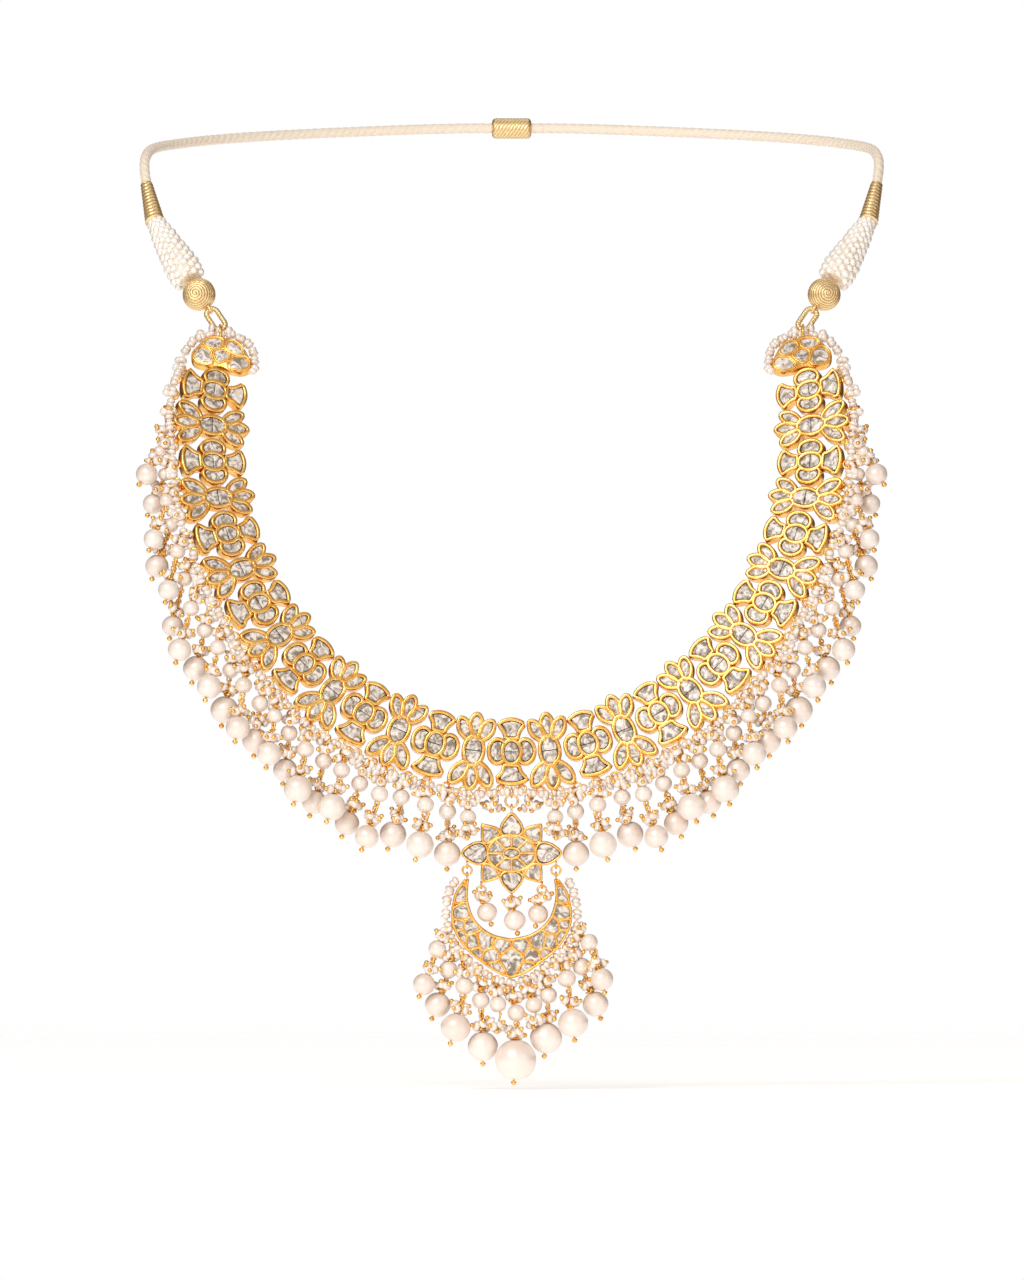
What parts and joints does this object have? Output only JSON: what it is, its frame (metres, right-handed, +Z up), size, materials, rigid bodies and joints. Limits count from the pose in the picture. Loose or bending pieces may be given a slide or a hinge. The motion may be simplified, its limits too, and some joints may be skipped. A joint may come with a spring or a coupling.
{
  "type": "kundan necklace",
  "caption": "Gold collar of pierced plaques set with flat-cut stones, with pearl drops, a hinged star and crescent pendant, and a silk cord with a slider at the nape.",
  "frame": {"origin": "inner side of the slider, where the cord rests on the nape", "axes": "+Z up as worn, the front of the necklace faces -Y, +X towards the right of a viewer who looks at the front"},
  "size_m": [0.1882, 0.1337, 0.2444],
  "materials": {
    "gold": "polished",
    "stones": "glossy",
    "pearls": "pearly",
    "seed_pearls": "pearly",
    "gold_thread": "metallic thread",
    "silk": "satin"
  },
  "bodies": {
    "collar": {"plaque_c": "gold", "plaque_l01": "gold", "plaque_l02": "gold", "plaque_l03": "gold", "plaque_l04": "gold", "plaque_l05": "gold", "plaque_l06": "gold", "plaque_l07": "gold", "plaque_l08": "gold", "plaque_l09": "gold", "plaque_l10": "gold", "plaque_l11": "gold", "plaque_l12": "gold", "plaque_l13": "gold", "plaque_l14": "gold", "plaque_r01": "gold", "plaque_r02": "gold", "plaque_r03": "gold", "plaque_r04": "gold", "plaque_r05": "gold", "plaque_r06": "gold", "plaque_r07": "gold", "plaque_r08": "gold", "plaque_r09": "gold", "plaque_r10": "gold", "plaque_r11": "gold", "plaque_r12": "gold", "plaque_r13": "gold", "plaque_r14": "gold", "end_cap_l": "gold", "end_cap_r": "gold", "stones_left": "stones", "stones_right": "stones", "edge_thread_left": "seed_pearls", "edge_thread_right": "seed_pearls", "fringe_pearls_left": "pearls", "fringe_pearls_right": "pearls", "fringe_wires_left": "gold", "fringe_wires_right": "gold", "hanging_ring": "gold", "cap_link_left": "gold", "cap_link_right": "gold", "wound_ball_left": "gold_thread", "wound_ball_right": "gold_thread", "bead_bundle_left": "seed_pearls", "bead_bundle_right": "seed_pearls", "thread_wrap_left": "gold_thread", "thread_wrap_right": "gold_thread", "back_cord": "silk", "cord_slider": "gold_thread"},
    "star": {"star_setting": "gold", "star_stones": "stones", "star_pearls": "pearls", "star_wires": "gold", "crescent_rings": "gold"},
    "crescent": {"crescent_setting": "gold", "crescent_stones": "stones", "crescent_thread": "seed_pearls", "crescent_pearls": "pearls", "crescent_wires": "gold"}
  },
  "joints": [
    {"name": "star_swing", "type": "hinge", "parent": "collar", "child": "star", "pos_m": [0, -0.11982, -0.17231], "axis": [1, 0, 0], "range_deg": [-60, 60]},
    {"name": "crescent_swing", "type": "hinge", "parent": "star", "child": "crescent", "pos_m": [0, -0.11982, -0.18925], "axis": [1, 0, 0], "range_deg": [-45, 45]}
  ]
}
